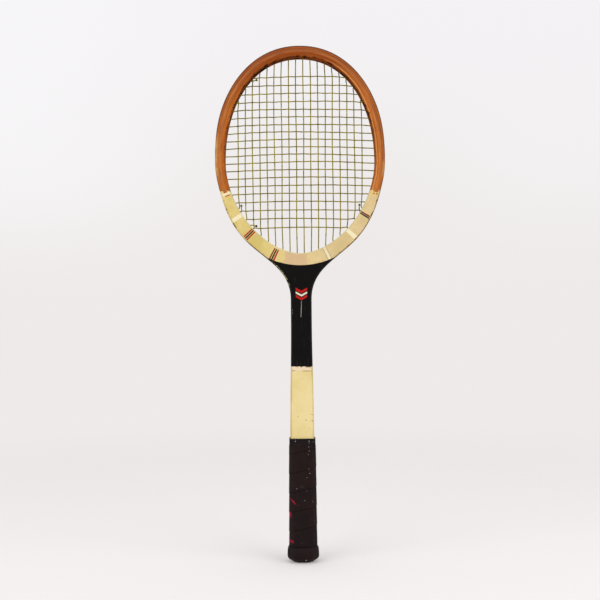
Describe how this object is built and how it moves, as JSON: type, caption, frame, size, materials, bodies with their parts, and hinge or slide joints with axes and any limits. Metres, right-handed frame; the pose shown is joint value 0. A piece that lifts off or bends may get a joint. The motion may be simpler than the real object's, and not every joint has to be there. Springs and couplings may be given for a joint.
{
  "type": "wooden tennis racket",
  "caption": "Laminated wooden tennis racket with an oval strung head, solid throat, slim shaft, wound leather grip and a flared butt cap.",
  "frame": {"origin": "middle of the butt's flat end face", "axes": "+Z from the butt along the handle to the tip of the head, X across the head in the plane of the strings, -Y out of the front face"},
  "size_m": [0.2264, 0.0364, 0.6875],
  "materials": {
    "outer_wood": "stained and varnished ash",
    "core_wood": "stained and varnished ash",
    "inner_wood": "stained and varnished ash",
    "crown_wood": "varnished maple",
    "slip_wood": "raw maple",
    "wedge_wood": "raw walnut",
    "shaft_wood": "raw ash",
    "pallet_wood": "raw light wood",
    "cream_facing": "thin veneer under cream lacquer",
    "black_facing": "thin veneer under black lacquer",
    "grip_leather": "dark worn leather strap",
    "collar_band": "dark band",
    "butt_leather": "dark worn cap",
    "tack_brass": "pale worn brass",
    "string_gut": "aged yellow gut, varnished",
    "string_knot": "dark knots of the same string"
  },
  "bodies": {
    "root": {"outer_bow": "outer_wood", "core_bow": "core_wood", "inner_hoop": "inner_wood", "crown_bridge": "crown_wood", "shoulder_wedge_left": "slip_wood", "shoulder_wedge_right": "slip_wood", "throat_wedge": "wedge_wood", "shaft_core": "shaft_wood", "shoulder_facing_front": "cream_facing", "shoulder_facing_back": "cream_facing", "throat_facing_front": "black_facing", "throat_facing_back": "black_facing", "shaft_facing_front": "cream_facing", "shaft_facing_back": "cream_facing", "pallet_front": "pallet_wood", "pallet_back": "pallet_wood", "leather_grip": "grip_leather", "grip_collar": "collar_band", "butt_cap": "butt_leather", "butt_tack_front": "tack_brass", "butt_tack_back": "tack_brass", "main_string": "string_gut", "cross_string": "string_gut", "main_knot_left": "string_knot", "main_knot_right": "string_knot", "cross_knot_top": "string_knot", "cross_knot_low": "string_knot"}
  },
  "joints": []
}
